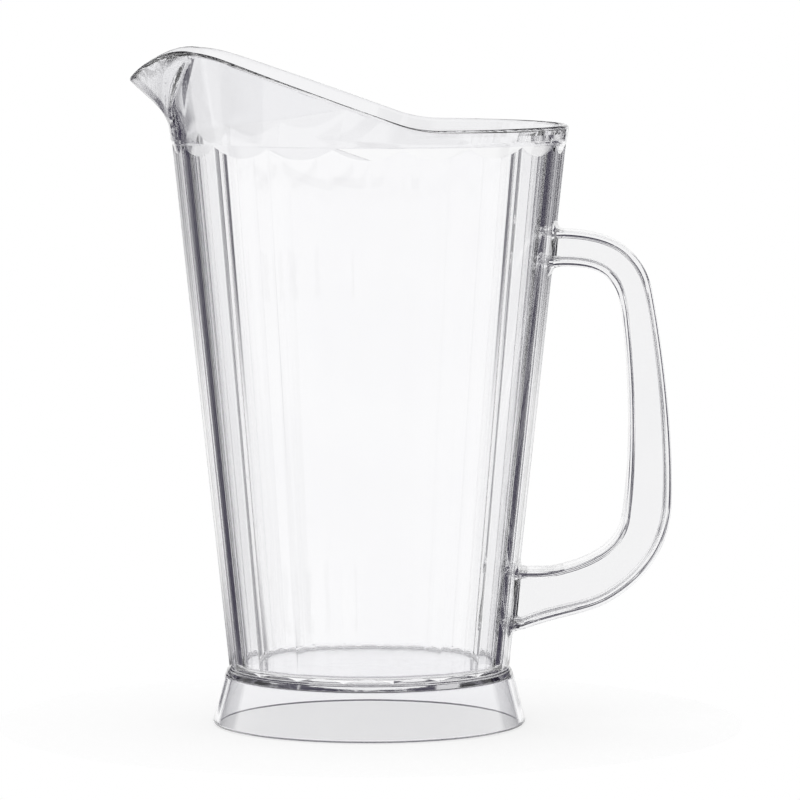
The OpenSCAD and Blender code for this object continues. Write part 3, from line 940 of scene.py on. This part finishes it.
def floor_material(look):
    """A pale matt floor that keeps the pitcher's shadow and reads as white as the backdrop."""
    material = bpy.data.materials.new("pale_floor")
    material.use_nodes = True
    tree = material.node_tree
    shader = tree.nodes["Principled BSDF"]
    shader.inputs["Base Color"].default_value = (*look.floor_colour, 1)
    shader.inputs["Roughness"].default_value = 0.9
    shader.inputs["Specular IOR Level"].default_value = 0
    shader.inputs["Emission Color"].default_value = (1, 1, 1, 1)
    path = node(tree, "ShaderNodeLightPath", -700, -200)
    seen = maths(tree, "MAXIMUM", path.outputs["Is Camera Ray"], path.outputs["Is Glossy Ray"], -500, -200)
    seen = maths(tree, "MAXIMUM", seen, path.outputs["Is Transmission Ray"], -340, -200)
    link(tree, maths(tree, "MULTIPLY", seen, look.floor_lift, -180, -200), shader.inputs["Emission Strength"])
    return material


def flag_mask(tree, heading, height, flag, soft_edge, y):
    """Mask of one dark flag, from its heading, half width, lowest and highest elevation in degrees."""
    centre, half_width, lowest, highest = (math.radians(angle) for angle in flag)
    apart = maths(tree, "COSINE", maths(tree, "SUBTRACT", heading, centre, -840, y), None, -700, y)
    off = maths(tree, "ARCCOSINE", apart, None, -560, y)
    wide = span(tree, off, half_width - soft_edge, half_width + soft_edge, 1, 0, -420, y)
    bottom = [math.sin(lowest + edge) for edge in (-soft_edge, soft_edge)]
    top = [math.sin(highest + edge) for edge in (-soft_edge, soft_edge)]
    low = span(tree, height, *bottom, 0, 1, -420, y - 60)
    high = span(tree, height, *top, 1, 0, -420, y - 120)
    return maths(tree, "MULTIPLY", wide, maths(tree, "MULTIPLY", low, high, -260, y - 60), -120, y)


def light_studio(scene, look):
    """White backdrop for the camera. The plastic stands in a white tent, where dark flags draw its edges."""
    world = bpy.data.worlds.new("studio")
    scene.world = world
    world.use_nodes = True
    tree = world.node_tree
    shader = tree.nodes["Background"]
    place = node(tree, "ShaderNodeTexCoord", -1400, 0)
    apart = node(tree, "ShaderNodeSeparateXYZ", -1200, 0)
    link(tree, place.outputs["Generated"], apart.inputs[0])
    heading = maths(tree, "ARCTAN2", apart.outputs["Y"], apart.outputs["X"], -1020, 0)
    height = apart.outputs["Z"]
    dim_heights = [math.sin(math.radians(angle)) for angle in TENT_DIM[:2]]
    top_heights = [math.sin(math.radians(angle)) for angle in TENT_TOP]
    dim = span(tree, height, *dim_heights, 0, TENT_DIM[2], -420, 300, smooth=False)
    top = span(tree, height, *top_heights, 0, 1, -420, 160)
    dark = maths(tree, "MAXIMUM", dim, top, -120, 200)
    path = node(tree, "ShaderNodeLightPath", -300, 420)
    mirrored = maths(tree, "MINIMUM", path.outputs["Glossy Depth"], 1, -120, 420)
    for row, flag in enumerate(FLAGS + ROOM_DARKS):
        y = -260 * row
        mask = flag_mask(tree, heading, height, flag, look.soft_edge, y)
        if flag in ROOM_DARKS:
            mask = maths(tree, "MULTIPLY", mask, mirrored, -40, y)
        dark = maths(tree, "MAXIMUM", mask, dark, 40, y)
    studio = mix(tree, dark, look.backdrop, look.flag, 220, 0)
    seen = maths(tree, "MAXIMUM", path.outputs["Is Glossy Ray"], path.outputs["Is Transmission Ray"], 40, 300)
    room = mix(tree, seen, look.ambient, studio, 400, 120)
    shown = mix(tree, path.outputs["Is Camera Ray"], room, look.backdrop, 580, 240)
    link(tree, shown, shader.inputs["Color"])
    shader.inputs["Strength"].default_value = 1


class PITCHER_OT_stage(bpy.types.Operator):
    """Builds the pale floor, the studio light and the camera"""
    bl_idname = "pitcher.stage"
    bl_label = "Stage"

    def execute(self, context):
        scene, look = context.scene, context.scene.pitcher_studio
        rim = turned(even_angles(DISC_CORNERS), np.array([[look.floor_radius, -look.floor_drop]]))[:-1, 0]
        mesh = bpy.data.meshes.new("stage_floor")
        mesh.from_pydata([tuple(p) for p in rim], [], [list(range(len(rim)))])
        mesh.materials.append(floor_material(look))
        floor = bpy.data.objects.new("stage_floor", mesh)
        scene.collection.objects.link(floor)

        light_studio(scene, look)
        lens = bpy.data.cameras.new("camera")
        lens.lens = look.focal_length
        camera = bpy.data.objects.new("camera", lens)
        camera.location = (look.camera_side, -look.camera_distance, look.camera_height)
        camera.rotation_euler = (math.pi / 2 - look.camera_tilt, 0, 0)
        scene.collection.objects.link(camera)
        scene.camera = camera
        scene.view_settings.view_transform = "Standard"
        for name, count in BOUNCES.items():
            setattr(scene.cycles, name, count)
        return {"FINISHED"}


OPERATORS = [PITCHER_OT_panelled_wall, PITCHER_OT_spout_collar, PITCHER_OT_floor_plate, PITCHER_OT_foot_skirt,
             PITCHER_OT_handle, PITCHER_OT_stage]


class PITCHER_PT_panel(bpy.types.Panel):
    """Lists the pieces and their sizes in the sidebar"""
    bl_idname = "PITCHER_PT_panel"
    bl_label = "Clear plastic pitcher"
    bl_space_type = "VIEW_3D"
    bl_region_type = "UI"
    bl_category = "Pitcher"

    def draw(self, context):
        for operator in OPERATORS:
            self.layout.operator(operator.bl_idname)
        for name, group in GROUPS.items():
            box = self.layout.box()
            box.label(text=group.__doc__)
            for prop in group.__annotations__:
                box.prop(getattr(context.scene, name), prop)


CLASSES = [*GROUPS.values(), *OPERATORS, PITCHER_PT_panel]


def register():
    for made in CLASSES:
        bpy.utils.register_class(made)
    for name, group in GROUPS.items():
        setattr(bpy.types.Scene, name, PointerProperty(type=group))


def unregister():
    for name in GROUPS:
        delattr(bpy.types.Scene, name)
    for made in reversed(CLASSES):
        bpy.utils.unregister_class(made)


def main():
    register()
    bpy.ops.pitcher.stage()
    bpy.ops.pitcher.panelled_wall()
    bpy.ops.pitcher.spout_collar()
    bpy.ops.pitcher.floor_plate()
    bpy.ops.pitcher.foot_skirt()
    bpy.ops.pitcher.handle()


if __name__ == "__main__":
    main()
